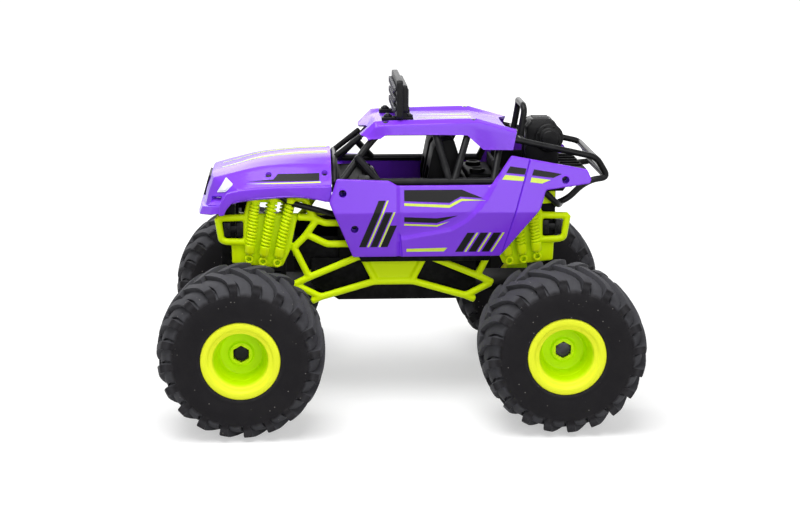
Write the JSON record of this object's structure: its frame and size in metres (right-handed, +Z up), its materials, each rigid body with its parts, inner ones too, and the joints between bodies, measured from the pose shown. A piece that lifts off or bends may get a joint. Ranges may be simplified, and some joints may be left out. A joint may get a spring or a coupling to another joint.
{
  "type": "rc monster truck",
  "caption": "Toy remote-control monster truck with big lugged tyres, coil-over towers, caged cab, roof lamp bar, steered front axle and geared rear axle.",
  "frame": {"origin": "on the ground, midway between the four wheels", "axes": "+Z up, the nose points to -X, the truck's left side faces -Y"},
  "size_m": [0.3798, 0.29, 0.2644],
  "materials": {
    "purple_shell": "glossy painted plastic shell",
    "lime_plastic": "semi-gloss moulded lime plastic",
    "black_plastic": "satin black moulded plastic",
    "tyre_rubber": "matt black rubber",
    "steel": "plain bright steel",
    "lamp_lens": "clear white lamp plastic",
    "circuit_board": "green circuit board",
    "battery_wrap": "shrink-wrapped cells",
    "white_nylon": "natural nylon"
  },
  "bodies": {
    "chassis": {"chassis_tub": "black_plastic", "battery_pack": "battery_wrap", "control_board": "circuit_board", "left_side_frame": "lime_plastic", "right_side_frame": "lime_plastic", "front_left_shock_1": "lime_plastic", "front_left_shock_2": "lime_plastic", "front_left_shock_3": "lime_plastic", "front_right_shock_1": "lime_plastic", "front_right_shock_2": "lime_plastic", "front_right_shock_3": "lime_plastic", "rear_left_shock_1": "lime_plastic", "rear_left_shock_2": "lime_plastic", "rear_left_shock_3": "lime_plastic", "rear_right_shock_1": "lime_plastic", "rear_right_shock_2": "lime_plastic", "rear_right_shock_3": "lime_plastic", "front_axle_beam": "black_plastic", "steering_servo": "black_plastic", "rear_gearbox_case": "black_plastic", "rear_gearbox_cover": "black_plastic", "drive_motor": "steel", "hood_shell": "purple_shell", "left_headlight": "lamp_lens", "right_headlight": "lamp_lens", "front_grille": "black_plastic", "left_side_panel": "purple_shell", "right_side_panel": "purple_shell", "left_rocker_rail": "black_plastic", "right_rocker_rail": "black_plastic", "roof_panel": "purple_shell", "left_cage": "black_plastic", "right_cage": "black_plastic", "cowl_frame": "black_plastic", "cockpit_tub": "black_plastic", "left_seat": "black_plastic", "right_seat": "black_plastic", "steering_wheel": "black_plastic", "rear_deck": "black_plastic", "engine_block": "black_plastic", "rear_rack": "black_plastic", "light_bar_housing": "black_plastic", "light_bar_lens": "lamp_lens"},
    "left_steering": {"left_knuckle": "black_plastic"},
    "right_steering": {"right_knuckle": "black_plastic"},
    "steering_link": {"tie_rod": "black_plastic"},
    "steering_horn": {"servo_horn": "white_nylon"},
    "front_left_wheel": {"front_left_rim": "lime_plastic", "front_left_tyre": "tyre_rubber"},
    "front_right_wheel": {"front_right_rim": "lime_plastic", "front_right_tyre": "tyre_rubber"},
    "rear_axle": {"rear_axle_shaft": "steel", "drive_gear": "white_nylon", "rear_left_rim": "lime_plastic", "rear_left_tyre": "tyre_rubber", "rear_right_rim": "lime_plastic", "rear_right_tyre": "tyre_rubber"},
    "pinion": {"motor_pinion": "steel"},
    "battery_hatch": {"battery_door": "black_plastic"},
    "power_slider": {"power_switch": "black_plastic"}
  },
  "joints": [
    {"name": "steer_left", "type": "hinge", "parent": "chassis", "child": "left_steering", "pos_m": [-0.125, -0.086, 0.065], "axis": [0, 0, 1], "range_deg": [-20, 20]},
    {"name": "steer_right", "type": "hinge", "parent": "chassis", "child": "right_steering", "pos_m": [-0.125, 0.086, 0.065], "axis": [0, 0, 1], "range_deg": [-20, 20]},
    {"name": "link_swing", "type": "hinge", "parent": "left_steering", "child": "steering_link", "pos_m": [-0.111, -0.086, 0.076], "axis": [0, 0, 1], "range_deg": [-20, 20]},
    {"name": "horn_turn", "type": "hinge", "parent": "chassis", "child": "steering_horn", "pos_m": [-0.125, 0, 0.08], "axis": [0, 0, 1], "range_deg": [-20, 20]},
    {"name": "front_left_spin", "type": "hinge", "parent": "left_steering", "child": "front_left_wheel", "pos_m": [-0.125, -0.1105, 0.065], "axis": [0, 1, 0], "continuous": true},
    {"name": "front_right_spin", "type": "hinge", "parent": "right_steering", "child": "front_right_wheel", "pos_m": [-0.125, 0.1105, 0.065], "axis": [0, 1, 0], "continuous": true},
    {"name": "rear_axle_spin", "type": "hinge", "parent": "chassis", "child": "rear_axle", "pos_m": [0.125, 0, 0.065], "axis": [0, 1, 0], "continuous": true},
    {"name": "pinion_spin", "type": "hinge", "parent": "chassis", "child": "pinion", "pos_m": [0.10415, 0, 0.07472], "axis": [0, 1, 0], "continuous": true},
    {"name": "battery_door_swing", "type": "hinge", "parent": "chassis", "child": "battery_hatch", "pos_m": [-0.03908, 0, 0.087], "axis": [0, 1, 0], "range_deg": [0, 75]},
    {"name": "power_slide", "type": "slide", "parent": "chassis", "child": "power_slider", "axis": [1, 0, 0], "range_m": [-0.002, 0.002]}
  ],
  "couplings": [
    {"joint": "steer_right", "follows": "steer_left", "ratio": 1},
    {"joint": "link_swing", "follows": "steer_left", "ratio": -1},
    {"joint": "horn_turn", "follows": "steer_left", "ratio": 1},
    {"joint": "pinion_spin", "follows": "rear_axle_spin", "ratio": -3}
  ]
}
